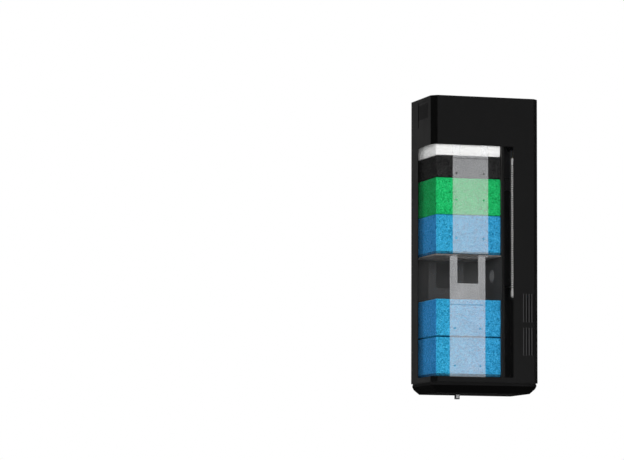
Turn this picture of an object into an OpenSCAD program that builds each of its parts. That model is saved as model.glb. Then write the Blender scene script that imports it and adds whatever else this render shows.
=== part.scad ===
// Corner-mounted aquarium filter with lift-out media baskets.
//
// A tall black casing is stuck to the tank's side glass by three silicone pads
// on its right-hand side face. A clear window wraps round the front left corner
// and shows two lift-out media baskets standing one on the other. A partition
// splits off a narrow equipment bay on the right, which holds a glass heater, a
// suction duct, a small synchronous pump and the riser to a swivelling outlet
// nozzle on the rear wall. Water enters through the louvres and the surface
// combs, passes both media stacks towards the mixing space between them, and
// leaves it through the round port in the partition.
//
// Shop frame used by the modules: x runs from the left face (0) to the right
// face (casing_w), y from the front face (0) to the rear face (casing_d), z
// from the underside of the base cap (0) to the rim (casing_h).
// module place() shifts all of it so that the origin is the centre of the
// middle mounting pad's outer face.

/* [Casing] */
// Width of the casing, left face to right face
casing_w = 168; // [166:1:180]
// Depth of the casing, front face to rear face
casing_d = 105; // [104:1:112]
// Height from the underside of the base cap to the rim
casing_h = 440; // [438:1:470]
// Thickness of the moulded casing walls
wall = 2.5; // [2:0.1:2.8]
// Size of the 45 degree bevel on the four upright corners
bevel = 8; // [6:0.5:8]
// Height of the base cap's chamfer
cap_h = 11; // [10:0.5:11]
// How far the base cap's chamfer runs in under the casing
cap_in = 11.5; // [9:0.5:12]
// Height of the base cap's upright collar above the chamfer
collar_h = 3; // [2:0.2:3]
// Height of the gasket groove between the collar and the casing
gasket_h = 1.8; // [1.2:0.1:1.8]

/* [Windows] */
// Underside of both window openings
win_z0 = 23.3; // [21:0.1:24]
// Top of both window openings
win_z1 = 367.2; // [360:0.1:368]
// Right edge of the media window on the front face
win_x1 = 109.3; // [104:0.1:109.4]
// Rear edge of the media window on the left face
win_y1 = 66.6; // [50:0.1:70]
// Left edge of the heater window
slot_x0 = 111.9; // [111.8:0.1:116]
// Right edge of the heater window
slot_x1 = 127.2; // [122:0.1:132]
// Thickness of the clear panes
pane_t = 1.2; // [1:0.1:1.5]
// Thickness of the lip in front of the panes
lip_t = 0.6; // [0.5:0.1:0.7]

/* [Media baskets] */
// Height of the lower basket's underside
low_z = 22; // [22:0.5:22]
// Height of the upper basket's underside, on top of the lower basket
up_z = 202.7; // [202.7:0.5:203.7]
// Thickness of the basket floors
floor_t = 1.8; // [1.4:0.1:2]
// Height of the rim above the basket floors
rim_h = 4.2; // [2:0.1:4.4]
// Thickness of the upright basket bands
band_t = 1.6; // [1.2:0.1:1.6]
// Diameter of the small holes in the bands
pin_hole_d = 2.6; // [2:0.1:3]

/* [Media] */
// Height of the lower fine sponge
fine_h = 58.3; // [50:0.1:58.4]
// Height of the upper fine sponge
fine2_h = 54.9; // [50:0.1:56]
// Height of the coarse sponge
coarse_h = 58.7; // [50:0.1:58.8]
// Height of the nitrate sponge
green_h = 54.8; // [50:0.1:54.9]
// Height of the carbon sponge
carbon_h = 32.2; // [30:0.1:32.3]
// Height of the floss pad
floss_h = 20; // [15:1:22]

/* [Heater] */
// Outer radius of the heater's glass tube
heater_r = 11; // [10:0.5:11]
// Lowest point of the glass tube
heater_z0 = 136.7; // [130:0.1:140]

/* [Pump] */
// Side of the square motor housing
pump_w = 44; // [42:1:44]
// Radius of the ceramic impeller shaft
shaft_r = 1.15; // [1:0.05:1.2]
// Number of impeller blades
blades = 6; // [4:1:8]
// Angle between the outlet spout and the pipe that carries it
spout_angle = 50; // [35:5:55]

/* [Mounting] */
// Thickness of the silicone mounting pads
pad_t = 2; // [1:0.5:4]
// Width of each pad, front to rear
pad_w = 60; // [30:5:80]
// Height of each pad
pad_hgt = 40; // [20:5:60]

/* [Hidden] */
$fn = 48;
eps = 0.01;

black = "#1b1b1c";
dark = "#2a2b2c";
clear = "#cfd8da";

// Underside of the casing, above the collar and the gasket
case_z0 = cap_h + collar_h + gasket_h;
// Underside of the partition
part_z0 = 20;
// Partition between the media chamber and the equipment bay
part_x0 = 110.5;
part_t = 2;
bay_x0 = part_x0 + part_t;
bay_x1 = casing_w - wall;
// Round suction port through the partition
port_y = 47.9;
port_z = 177;
port_r = 9.6;
// Bodies of the baskets
bk_x0 = 6.1;
bk_x1 = 110;
bk_y0 = wall + 0.9;
bk_y1 = casing_d - wall - 0.9;
md_x0 = 7.6;
md_x1 = 109.4;
md_y0 = bk_y0 + band_t + 0.6;
md_y1 = bk_y1 - band_t - 0.6;
// Pump
pump_x = 139.25;
pump_y = 62;
shelf_z = 303;
vol_z0 = 306;
vol_z1 = 324;
mot_z0 = 325;
mot_z1 = 388;
mag_r = 9;
well_r = 10;
// Riser and outlet
ris_x = 147.2;
ris_y = 92;
out_z = 315;
noz_z = 405;
pipe_ro = 8;
pipe_ri = 6.5;
noz_y0 = casing_d + 2.6;
noz_yc = casing_d + 16;
// Heater
heat_x = 141;
heat_y = 22;
head_z0 = 368.1;
head_z1 = 422;
head_r = 14;
dial_y = heat_y - 4.5;
gland_y = heat_y + 7.8;
// Drain
drain_x = 56.8;
drain_y = 52;

// ---------------------------------------------------------------- helpers

// Shifts the shop frame to the frame of the middle mounting pad.
module place() {
  translate([-casing_w - pad_t, -casing_d / 2, -casing_h / 2]) children();
}

// Box from a low corner to a high corner.
module box(a, b) {
  translate(a) cube([b[0] - a[0], b[1] - a[1], b[2] - a[2]]);
}

// Beveled outline of the casing, moved inwards by i.
function outline(i) =
  let (c = bevel - i * (2 - sqrt(2)), w = casing_w, d = casing_d)
  [[i + c, i], [w - i - c, i], [w - i, i + c], [w - i, d - i - c],
   [w - i - c, d - i], [i + c, d - i], [i, d - i - c], [i, i + c]];

module slab(i, z0, z1) {
  translate([0, 0, z0]) linear_extrude(z1 - z0) polygon(outline(i));
}

// Upright ring between two insets of the outline.
module ring(i0, i1, z0, z1) {
  difference() {
    slab(i0, z0, z1);
    slab(i1, z0 - 1, z1 + 1);
  }
}

module tube(ro, ri, h) {
  difference() {
    cylinder(r = ro, h = h);
    translate([0, 0, -1]) cylinder(r = ri, h = h + 2);
  }
}

// Rounded rectangle with true arcs, low corner at the origin.
module round_rect(w, h, r) {
  translate([r, 0]) square([w - 2 * r, h]);
  translate([0, r]) square([w, h - 2 * r]);
  for (x = [r, w - r], y = [r, h - r]) translate([x, y]) circle(r = r);
}

// Prism along y with a rounded rectangle in x and z.
module port_y_box(x0, x1, z0, z1, y0, y1, r) {
  translate([x0, y1, z0]) rotate([90, 0, 0])
    linear_extrude(y1 - y0) round_rect(x1 - x0, z1 - z0, r);
}

// Prism along x with a rounded rectangle in y and z.
module port_x_box(y0, y1, z0, z1, x0, x1, r) {
  translate([x0, y0, z0]) rotate([90, 0, 90])
    linear_extrude(x1 - x0) round_rect(y1 - y0, z1 - z0, r);
}

// Room round the front left corner, its far edges moved out by x and y.
module media_room(x, y) {
  port_y_box(-20, win_x1 + x, win_z0, win_z1, -2, bevel + 1, 2.5);
  port_x_box(-20, win_y1 + y, win_z0, win_z1, -2, bevel + 1, 2.5);
}

module heater_room(x0, x1) {
  port_y_box(slot_x0 - x0, slot_x1 + x1, win_z0, win_z1, -2, wall + 1, 1.5);
}

// Openings in the casing: a thin lip outside, and a wider rebate behind it
// that takes the pane.
module media_opening() {
  media_room(0, 0);
  intersection() {
    slab(lip_t, win_z0 - 1, win_z1 + 1);
    media_room(0.9, 5.4);
  }
}

module heater_opening() {
  heater_room(0, 0);
  intersection() {
    slab(lip_t, win_z0 - 1, win_z1 + 1);
    heater_room(0.4, 0.8);
  }
}

// ---------------------------------------------------------------- casing

louvre_x0 = 143;
louvre_rows = [[57.1, 97.3], [106.3, 147.8]];
louvre_n = 4;
louvre_pitch = 4.35;
louvre_gap = 1.15;

module casing_shell() {
  color(black) {
    difference() {
      union() {
        ring(0, wall, case_z0, casing_h);
        // Inner flange that meets the base cap
        ring(wall - 0.5, 4.5, case_z0, 18.4);
        // Guide ribs for the baskets
        for (y = [88, 94])
          box([wall - 0.5, y, low_z + 2], [bk_x0 - 0.5, y + 2, casing_h - 12]);
        // Rails that hold the partition
        for (y = [wall - 0.5, casing_d - wall - 2])
          box([bay_x0, y, part_z0], [bay_x0 + 1.8, y + 2.5, 400]);
        // Stiffening band inside the rim, on the bay's right-hand wall
        box([casing_w - wall - 1.5, 20, casing_h - 6],
            [casing_w - wall + 0.5, 40, casing_h - 3]);
      }
      media_opening();
      heater_opening();
      // Louvres of the lower inlet
      for (row = louvre_rows, i = [0:louvre_n - 1])
        port_y_box(louvre_x0 + (i + 0.5) * louvre_pitch - louvre_gap / 2,
                   louvre_x0 + (i + 0.5) * louvre_pitch + louvre_gap / 2,
                   row[0], row[1], -1, wall + 1, 0.6);
      // Recessed surface comb in the left wall
      box([-1, 20, 397], [0.6, 66, casing_h - 5]);
      for (i = [0:9])
        port_x_box(21.2 + i * 4.6, 23.4 + i * 4.6, 408, 431, -1, wall + 1, 1);
      // Surface comb in the rear wall
      for (i = [0:15])
        port_y_box(20 + i * 5, 22.4 + i * 5, 408, 431,
                   casing_d - wall - 1, casing_d + 1, 1);
      // Hole for the outlet pipe
      translate([ris_x, casing_d + 1, noz_z]) rotate([90, 0, 0])
        cylinder(r = 10, h = wall + 2);
      // Cable notches in the rim
      port_x_box(44, 52, casing_h - 9, casing_h + 9,
                 casing_w - wall - 1, casing_w + 1, 3.9);
      port_y_box(122, 130, casing_h - 9, casing_h + 9,
                 casing_d - wall - 1, casing_d + 1, 3.9);
    }
    // Rounded ribs in front of the louvres
    for (row = louvre_rows, i = [0:louvre_n - 1])
      translate([louvre_x0 + i * louvre_pitch, 0.15, row[0] - 0.6])
        cylinder(r = 1, h = row[1] - row[0] + 1.2, $fn = 24);
  }
}

module partition() {
  color(dark) difference() {
    box([part_x0, wall, part_z0], [part_x0 + part_t, casing_d - wall, 400]);
    translate([part_x0 - 1, port_y, port_z]) rotate([0, 90, 0])
      cylinder(r = port_r, h = part_t + 2);
    // Transfer comb to the space below the lower basket
    for (i = [0:7])
      box([part_x0 - 1, 12 + i * 10.5, part_z0 - 1],
          [part_x0 + part_t + 1, 17 + i * 10.5, part_z0 + 6]);
  }
}

// Solid with the cap's outer shape, its chamfered sides moved in by i.
module cap_solid(i, z0, z1, top) {
  w = casing_w;
  d = casing_d;
  intersection() {
    slab(top, z0, z1);
    translate([0, d + 1, 0]) rotate([90, 0, 0]) linear_extrude(d + 2)
      polygon([[cap_in + i, z0], [w - cap_in - i, z0], [w - top, cap_h],
               [w - top, z1 + 1], [top, z1 + 1], [top, cap_h]]);
    translate([-1, 0, 0]) rotate([90, 0, 90]) linear_extrude(w + 2)
      polygon([[cap_in + i, z0], [d - cap_in - i, z0], [d - top, cap_h],
               [d - top, z1 + 1], [top, z1 + 1], [top, cap_h]]);
  }
}

module base_cap() {
  color("#0d0d0e") {
    difference() {
      union() {
        cap_solid(0, 0, cap_h + collar_h, 1.6);
        // Rim that plugs into the casing
        slab(4.6, cap_h, 18.4);
      }
      cap_solid(1, 2.5, 19, 6.4);
      translate([drain_x, drain_y, -1]) cylinder(r = 2.6, h = 5);
      // Shallow joint line round the floor
      difference() {
        cap_solid(1.4, -1, 0.4, 3);
        cap_solid(2.2, -2, 1, 3);
      }
    }
    // Posts that carry the lower basket
    for (x = [24, 58, 92], y = [22, 83])
      translate([x, y, 2.4]) cylinder(r = 4, h = low_z - 2.4);
    // Boss of the drain, with its side port
    difference() {
      translate([drain_x, drain_y, 2.4]) tube(6, 2.6, 5);
      translate([drain_x, drain_y, 5]) rotate([-90, 0, 0])
        cylinder(r = 1.2, h = 8);
    }
  }
}

module base_gasket() {
  color("#101010") ring(2.2, 4.4, cap_h + collar_h, case_z0);
}

// Hollow spigot with a cross hole that meets the boss's port when turned.
module drain_spigot() {
  color("#b4b4b6") translate([drain_x, drain_y, 0]) difference() {
    union() {
      translate([0, 0, -6.6]) cylinder(r = 2.55, h = 14.3);
      translate([0, 0, 7.5]) cylinder(r = 3.6, h = 1.4);
    }
    translate([0, 0, -8]) cylinder(r = 1.5, h = 13.5);
    translate([0, 0, 5]) rotate([0, 90, 0]) cylinder(r = 1.1, h = 5);
  }
}

module drain_knob() {
  color("#8c8c8e") translate([drain_x, drain_y, 0]) difference() {
    translate([0, 0, -7.5]) cylinder(r = 3.9, h = 6.5);
    translate([0, 0, -6.6]) cylinder(r = 2.55, h = 8);
    translate([0, 0, -8]) cylinder(r = 1.5, h = 3);
    for (a = [0:45:315]) rotate([0, 0, a])
      translate([4.2, 0, -8]) cylinder(r = 0.8, h = 6, $fn = 24);
  }
}

module drain_seal() {
  color("#222222") translate([drain_x, drain_y, -0.9]) tube(3.6, 2.65, 0.9);
}

// ---------------------------------------------------------------- windows

module pane_slab() {
  ring(lip_t, lip_t + pane_t, win_z0, win_z1);
}

module media_window() {
  color(clear, 0.35) intersection() {
    pane_slab();
    media_room(0.9, 5.4);
  }
}

module heater_window() {
  color(clear, 0.35) intersection() {
    pane_slab();
    heater_room(0.4, 0.8);
  }
}

// ---------------------------------------------------------------- mounting

module mounting_pads() {
  color("#3a3d40")
    for (z = [60, casing_h / 2, casing_h - 60])
      translate([casing_w, casing_d / 2 - pad_w / 2, z - pad_hgt / 2])
        rotate([90, 0, 90]) linear_extrude(pad_t)
          round_rect(pad_w, pad_hgt, 5);
}

// ---------------------------------------------------------------- suction

duct_y0 = 36;
duct_y1 = 84;
duct_z0 = 163;

module suction_duct() {
  color("#242526") {
    difference() {
      box([bay_x0, duct_y0, duct_z0], [bay_x1, duct_y1, shelf_z]);
      box([bay_x0 + 2, duct_y0 + 2, duct_z0 + 2],
          [bay_x1 - 2, duct_y1 - 2, shelf_z - 2]);
      translate([bay_x0 - 1, port_y, port_z]) rotate([0, 90, 0])
        cylinder(r = port_r, h = 4);
      translate([pump_x, pump_y, shelf_z - 4]) cylinder(r = 9.1, h = 6);
    }
  }
}

module port_strainer() {
  color("#6d6f70") difference() {
    translate([part_x0 - 0.5, port_y, port_z]) rotate([0, 90, 0])
      cylinder(r = port_r, h = part_t + 0.5);
    for (i = [-2:2])
      port_x_box(port_y + i * 3.4 - 0.8, port_y + i * 3.4 + 0.8,
                 port_z - (abs(i) == 2 ? 4.5 : 7), port_z + (abs(i) == 2 ? 4.5 : 7),
                 part_x0 - 2, part_x0 + 4, 0.7);
  }
}

// ---------------------------------------------------------------- heater

// Clip that grips the tube from the right.
module heater_clip(z, h) {
  translate([heat_x, heat_y, z]) difference() {
    tube(13.2, heater_r + 0.4, h);
    translate([-30, -20, -1]) cube([26, 40, h + 2]);
  }
  box([heat_x + 12, heat_y - 4, z], [bay_x1 - 1, heat_y + 4, z + h]);
}

module heater_bracket() {
  color("#202122") {
    box([bay_x1 - 2, heat_y - 6, 150], [bay_x1, heat_y + 6, head_z0 - 0.1]);
    heater_clip(166, 9);
    heater_clip(300, 9);
    // Ring that carries the head
    translate([heat_x, heat_y, head_z0 - 4.1]) tube(13.6, heater_r + 0.4, 4);
    box([heat_x + 12.4, heat_y - 4, head_z0 - 4.1],
        [bay_x1 - 1, heat_y + 4, head_z0 - 0.1]);
  }
}

module heater_tube() {
  color("#e8f2f2", 0.4) translate([heat_x, heat_y, 0]) difference() {
    union() {
      translate([0, 0, heater_z0 + heater_r])
        cylinder(r = heater_r, h = head_z0 + 7.9 - heater_z0 - heater_r);
      translate([0, 0, heater_z0 + heater_r]) sphere(r = heater_r);
    }
    translate([0, 0, heater_z0 + heater_r])
      cylinder(r = heater_r - 1.2, h = 320);
    translate([0, 0, heater_z0 + heater_r]) sphere(r = heater_r - 1.2);
  }
}

core_z0 = heater_z0 + 7;
core_z1 = 352;
core_r = 8.9;

// Ceramic former with a thicker bead at its lower end.
module heater_core() {
  color("#efeee8") translate([heat_x, heat_y, core_z0]) difference() {
    union() {
      cylinder(r1 = 7.2, r2 = 9.4, h = 2.4);
      translate([0, 0, 2.4]) cylinder(r = 9.4, h = 8.3);
      translate([0, 0, 10.7]) cylinder(r = core_r, h = core_z1 - core_z0 - 10.7);
    }
    translate([0, 0, -1]) cylinder(r = 2.4, h = core_z1 - core_z0 + 2);
  }
}

module heater_winding() {
  color("#56504a") translate([heat_x, heat_y, core_z0 + 11.6])
    tube(core_r + 0.7, core_r, core_z1 - core_z0 - 19.6);
}

module heater_thermostat() {
  color("#b9a36a") translate([heat_x, heat_y, core_z1]) {
    cylinder(r = 7.5, h = 2);
    box([-6.5, -1.2, 1.9], [6.5, 1.2, 20]);
    box([-1.2, 1.1, 4], [1.2, 5, 18]);
  }
}

module heater_head() {
  color("#151516") translate([heat_x, heat_y, 0]) difference() {
    union() {
      translate([0, 0, head_z0]) cylinder(r = head_r, h = head_z1 - head_z0 - 2);
      translate([0, 0, head_z1 - 2])
        cylinder(r1 = head_r, r2 = head_r - 2, h = 2);
    }
    translate([0, 0, head_z0 - 1]) cylinder(r = heater_r + 0.8, h = 10);
    translate([0, 0, head_z0 + 8]) cylinder(r = heater_r - 2, h = 30);
    // Socket of the dial's spindle
    translate([0, dial_y - heat_y, head_z1 - 8]) cylinder(r = 2.05, h = 10);
    // Hole for the cable gland
    translate([0, gland_y - heat_y, head_z1 - 5]) cylinder(r = 2.6, h = 10);
    // Grip grooves
    for (a = [0:15:345]) rotate([0, 0, a + 7.5])
      translate([head_r + 0.4, 0, head_z0 + 18])
        cylinder(r = 1, h = 24, $fn = 16);
  }
}

module heater_seal() {
  color("#303030") translate([heat_x, heat_y, head_z0 + 0.6])
    tube(heater_r + 0.8, heater_r, 7.3);
}

module heater_gland() {
  color("#111111") translate([heat_x, gland_y, head_z1 - 5]) difference() {
    union() {
      cylinder(r = 2.6, h = 6);
      translate([0, 0, 5]) cylinder(r = 3.4, h = 3);
      translate([0, 0, 8]) cylinder(r1 = 3.2, r2 = 2.4, h = 9);
    }
    translate([0, 0, 6]) cylinder(r = 1.7, h = 12);
  }
}

module heater_dial() {
  color("#a8321f") translate([heat_x, dial_y, 0]) {
    difference() {
      union() {
        translate([0, 0, head_z1 - 7]) cylinder(r = 2, h = 8);
        translate([0, 0, head_z1 + 0.3]) cylinder(r = 6.6, h = 9);
        translate([0, 0, head_z1 + 9.3]) cylinder(r1 = 6.6, r2 = 5.8, h = 0.9);
      }
      for (a = [0:30:330]) rotate([0, 0, a])
        translate([7, 0, head_z1 + 2]) cylinder(r = 0.9, h = 12, $fn = 16);
      // Groove of the pointer
      box([-0.6, 0.8, head_z1 + 9.4], [0.6, 5.4, head_z1 + 12]);
    }
  }
}

// ---------------------------------------------------------------- pump

module at_pump() {
  translate([pump_x, pump_y, 0]) children();
}

module volute() {
  color("#1c1d1e") difference() {
    union() {
      at_pump() translate([0, 0, vol_z0]) cylinder(r = 21, h = vol_z1 - vol_z0);
      at_pump() translate([0, 0, 299]) cylinder(r = 9, h = vol_z0 - 299 + 1);
      // Tangential outlet
      translate([ris_x, pump_y, out_z]) rotate([-90, 0, 0])
        cylinder(r = 6.5, h = 26);
    }
    // Impeller chamber
    at_pump() translate([0, 0, vol_z0 + 3])
      cylinder(r = 18.5, h = vol_z1 - vol_z0);
    // Inlet, with a spider that holds the lower bush
    at_pump() difference() {
      translate([0, 0, 298]) cylinder(r = 7, h = vol_z0 + 4 - 298);
      translate([0, 0, 303.5]) cylinder(r = 3.4, h = 5.5);
      for (a = [90, 210, 330]) rotate([0, 0, a])
        translate([0, -0.8, 303.5]) cube([9, 1.6, 4]);
    }
    at_pump() translate([0, 0, 304.5]) cylinder(r = 2.4, h = 6);
    translate([ris_x, pump_y, out_z]) rotate([-90, 0, 0])
      cylinder(r = 5, h = 30);
  }
}

module volute_seal() {
  color("#2b2b2b") at_pump() translate([0, 0, vol_z1]) tube(20.8, 18.6, 1);
}

module rounded_block(w, r, z0, z1) {
  translate([-w / 2, -w / 2, z0]) linear_extrude(z1 - z0)
    round_rect(w, w, r);
}

module motor_housing() {
  color("#1e1f20") at_pump() {
    difference() {
      union() {
        rounded_block(pump_w, 5, mot_z0, mot_z1);
        // Cooling ribs
        for (s = [-1, 1], y = [-12:6:12])
          translate([s > 0 ? pump_w / 2 - 0.5 : -pump_w / 2 - 1.2, y - 0.8, mot_z0 + 8])
            cube([1.7, 1.6, mot_z1 - mot_z0 - 16]);
      }
      difference() {
        rounded_block(pump_w - 4, 3, mot_z0 + 2, mot_z1 + 1);
        translate([0, 0, mot_z0]) cylinder(r = well_r + 1.8, h = 39);
      }
      translate([0, 0, mot_z0 - 1]) cylinder(r = well_r, h = 35);
      translate([0, 0, mot_z0 + 33]) cylinder(r = 3, h = 4);
    }
  }
}

module motor_cap() {
  color("#161617") at_pump() difference() {
    union() {
      rounded_block(pump_w, 5, mot_z1, mot_z1 + 3);
      rounded_block(pump_w - 4.4, 3, mot_z1 - 1, mot_z1 + 1);
    }
    translate([-12, 10, mot_z1 - 2]) cylinder(r = 4, h = 8);
  }
}

module stator_core() {
  color("#7f8285") at_pump() {
    for (s = [-1, 1])
      translate([s * 15.4 - 3, -8, mot_z0 + 4]) cube([6, 16, 56]);
    translate([-15.4, -8, mot_z0 + 50]) cube([30.8, 16, 9]);
  }
}

module stator_coil() {
  color("#b4632a") at_pump() difference() {
    translate([-9, -14, mot_z0 + 42]) cube([18, 28, 19.5]);
    translate([-10, -8, mot_z0 + 50]) cube([20, 16, 9]);
  }
}

module impeller_shaft() {
  color("#f2f2f0") at_pump() translate([0, 0, 305.5])
    cylinder(r = shaft_r, h = 55);
}

module shaft_bushes() {
  color("#3b3b3d") at_pump() {
    translate([0, 0, 304.5]) difference() {
      cylinder(r = 2.4, h = 4.5);
      translate([0, 0, 1]) cylinder(r = shaft_r, h = 6);
    }
    translate([0, 0, mot_z0 + 33]) difference() {
      cylinder(r = 3, h = 4);
      translate([0, 0, -1]) cylinder(r = shaft_r, h = 3.5);
    }
  }
}

module rotor_magnet() {
  color("#4c4f52") at_pump() translate([0, 0, mot_z0 + 2])
    tube(mag_r, shaft_r + 0.05, 30);
}

module impeller_wheel() {
  color("#d9dadb") at_pump() difference() {
    union() {
      translate([0, 0, 310.5]) cylinder(r = 4.6, h = mot_z0 + 2 - 310.5);
      translate([0, 0, 320.4]) cylinder(r = 9, h = 1.4);
      for (i = [0:blades - 1]) rotate([0, 0, i * 360 / blades])
        intersection() {
          // Curved blade: part of a thin ring
          translate([8.5, -7, 311.5]) tube(11.2, 9.9, 9);
          box([2, -1, 311], [16, 20, 321]);
          translate([0, 0, 311]) cylinder(r = 15.5, h = 10);
        }
    }
    translate([0, 0, 309]) cylinder(r = shaft_r + 0.05, h = 25);
  }
}

module pump_feet() {
  color("#2e2e30") at_pump()
    for (a = [45, 135, 225, 315]) rotate([0, 0, a])
      translate([15.5, 0, shelf_z]) cylinder(r = 3.2, h = vol_z0 - shelf_z);
}

module pump_gland() {
  color("#111111") at_pump() translate([-12, 10, mot_z1 - 1]) difference() {
    union() {
      cylinder(r = 4, h = 5);
      translate([0, 0, 4]) cylinder(r = 5, h = 3);
      translate([0, 0, 7]) cylinder(r1 = 4.4, r2 = 3.2, h = 12);
    }
    translate([0, 0, 3]) cylinder(r = 2.4, h = 20);
  }
}

// Elbowed pipe from the volute up to the hole in the rear wall.
module riser_shape(r, ends) {
  translate([ris_x, 84 - ends, out_z]) rotate([-90, 0, 0])
    cylinder(r = r, h = ris_y - 84 + ends);
  translate([ris_x, ris_y, out_z]) sphere(r = r);
  translate([ris_x, ris_y, out_z]) cylinder(r = r, h = noz_z - out_z);
  translate([ris_x, ris_y, noz_z]) sphere(r = r);
  translate([ris_x, ris_y, noz_z]) rotate([-90, 0, 0])
    cylinder(r = r, h = noz_yc + 1 - ris_y + ends);
}

module riser_pipe() {
  color("#232425") difference() {
    union() {
      riser_shape(pipe_ro, 0);
      // Snap bead that keeps the nozzle on
      translate([ris_x, noz_yc - 1.2, noz_z]) rotate([-90, 0, 0])
        cylinder(r = pipe_ro + 0.5, h = 1.4);
      // Socket over the volute's outlet
      translate([ris_x, 84, out_z]) rotate([-90, 0, 0])
        cylinder(r = 8.6, h = 3);
    }
    riser_shape(pipe_ri, 2);
  }
}

module wall_grommet() {
  color("#2d2d2f") translate([ris_x, 0, noz_z]) rotate([-90, 0, 0]) {
    translate([0, 0, casing_d - wall - 1.4]) tube(12, pipe_ro, 1.4);
    translate([0, 0, casing_d - wall]) tube(10, pipe_ro, wall);
    translate([0, 0, casing_d]) tube(12.5, pipe_ro, 1.5);
  }
}

module nozzle_washer() {
  color("#8d8f90") translate([ris_x, casing_d + 1.5, noz_z])
    rotate([-90, 0, 0]) tube(11, pipe_ro, 0.9);
}

// Frame at the nozzle's elbow with z along the spout.
module at_spout() {
  translate([ris_x, noz_yc + 3, noz_z]) rotate([0, 0, spout_angle])
    rotate([-90, 0, 0]) children();
}

module outlet_nozzle() {
  color("#1a1a1b") difference() {
    union() {
      translate([ris_x, noz_y0, noz_z]) rotate([-90, 0, 0])
        cylinder(r = 11, h = noz_yc + 3 - noz_y0);
      translate([ris_x, noz_yc + 3, noz_z]) sphere(r = 11);
      at_spout() cylinder(r1 = 10.5, r2 = 8, h = 22);
      at_spout() cylinder(r = 7, h = 36);
      // Grip ribs round the sleeve
      for (a = [0:30:330])
        translate([ris_x, noz_y0 + 1.5, noz_z]) rotate([0, a, 0])
          translate([-0.8, 0, 10]) cube([1.6, 9, 2]);
    }
    // Running bore on the pipe
    translate([ris_x, noz_y0 - 1, noz_z]) rotate([-90, 0, 0])
      cylinder(r = pipe_ro + 0.05, h = noz_yc - 1.5 - noz_y0 + 1);
    // Room for the snap bead and the turn
    translate([ris_x, noz_yc - 1.6, noz_z]) rotate([-90, 0, 0])
      cylinder(r = 8.9, h = 4.6);
    translate([ris_x, noz_yc + 3, noz_z]) sphere(r = 8.9);
    at_spout() cylinder(r = 5.5, h = 40);
  }
}

// ---------------------------------------------------------------- baskets

// Tray: a grid floor of crossing bars inside a thin upright rim that holds
// the lowest sponge by its bottom edges.
module basket_floor(z) {
  y0 = bk_y0 + band_t;
  y1 = bk_y1 - band_t;
  nx = 9;
  ny = 9;
  px = (bk_x1 - bk_x0 - 4) / nx;
  py = (y1 - y0 - 4) / ny;
  c = 1.2;
  e = 0.5;
  color("#8f8d88", 0.85) difference() {
    translate([0, 0, z]) linear_extrude(floor_t + rim_h)
      polygon([[bk_x0 + c, y0], [bk_x1 - e, y0], [bk_x1, y0 + e],
               [bk_x1, y1 - e], [bk_x1 - e, y1], [bk_x0 + c, y1],
               [bk_x0, y1 - c], [bk_x0, y0 + c]]);
    box([md_x0, md_y0, z + floor_t], [md_x1, md_y1, z + floor_t + rim_h + 1]);
    for (i = [0:nx - 1], j = [0:ny - 1])
      box([bk_x0 + 2 + i * px + 1, y0 + 2 + j * py + 1, z - 1],
          [bk_x0 + 2 + (i + 1) * px - 1, y0 + 2 + (j + 1) * py - 1, z + floor_t + 1]);
  }
}

// Upright band with a grip opening, small holes and a foot under the floor.
// side is 0 for the front band and 1 for the rear band.
module basket_band(side, x0, x1, hx0, hx1, z, hz, hz1, top, ridge, holes) {
  ya = side == 0 ? bk_y0 : bk_y1 - band_t;
  fa = side == 0 ? bk_y0 : bk_y1 - 7;
  color("#c9cdd0", 0.5) difference() {
    union() {
      box([x0, ya, z], [x1, ya + band_t, top]);
      // Foot that hooks under the floor
      box([x0, fa, z - 1.2], [x1, fa + 7, z]);
      // Low stiffening ridge across the outer face
      box([x0 + 1, side == 0 ? ya - 0.35 : ya + band_t - 0.1, ridge],
          [x1 - 1, side == 0 ? ya + 0.1 : ya + band_t + 0.35, ridge + 0.8]);
    }
    port_y_box(hx0, hx1, hz, hz1, ya - 1, ya + band_t + 1, 1.2);
    for (p = holes)
      translate([p[0], ya - 1, p[1]]) rotate([-90, 0, 0])
        cylinder(d = pin_hole_d, h = band_t + 2, $fn = 24);
  }
}

low_holes = [for (x = [36.6, 76.5], z = [39.7, 94.8]) [x, z]];
up_holes = [for (x = [39, 81.9], z = [228.6, 285.5, 325]) [x, z]];

module lower_basket_floor() { basket_floor(low_z); }
module lower_basket_front_band() {
  basket_band(0, 28.9, 84.2, 40.3, 73.3, low_z, 161.5, 198.7, up_z - 1.3, 129.5, low_holes);
}
module lower_basket_rear_band() {
  basket_band(1, 28.9, 84.2, 40.3, 73.3, low_z, 161.5, 198.7, up_z - 1.3, 129.5, low_holes);
}
module upper_basket_floor() { basket_floor(up_z); }
module upper_basket_front_band() {
  basket_band(0, 33.5, 88.8, 45.2, 77.9, up_z, 352, 390, 394, 347, up_holes);
}
module upper_basket_rear_band() {
  basket_band(1, 33.5, 88.8, 45.2, 77.9, up_z, 352, 390, 394, 347, up_holes);
}

// ---------------------------------------------------------------- media

// Plain block that stands for a piece of foam or floss.
module media_block(z0, z1, inset) {
  box([md_x0 + inset, md_y0 + inset, z0], [md_x1 - inset, md_y1 - inset, z1]);
}

fine_z = low_z + floor_t + 0.2;
fine2_z = fine_z + fine_h + 0.9;
coarse_z = up_z + floor_t + 0.2;
green_z = coarse_z + coarse_h + 0.2;
carbon_z = green_z + green_h + 0.2;
floss_z = carbon_z + carbon_h + 0.2;

module fine_sponge_bottom() { color("#2d97cf") media_block(fine_z, fine_z + fine_h, 0); }
module fine_sponge_top() { color("#2d97cf") media_block(fine2_z, fine2_z + fine2_h, 0); }
module coarse_sponge() { color("#2a92cc") media_block(coarse_z, coarse_z + coarse_h, 0); }
module nitrate_sponge() { color("#1fb860") media_block(green_z, green_z + green_h, 0); }
module carbon_sponge() { color("#262626") media_block(carbon_z, carbon_z + carbon_h, 0); }
module floss_pad() { color("#f7f7f5") media_block(floss_z, floss_z + floss_h, 0.4); }

// ---------------------------------------------------------------- assembly

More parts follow.
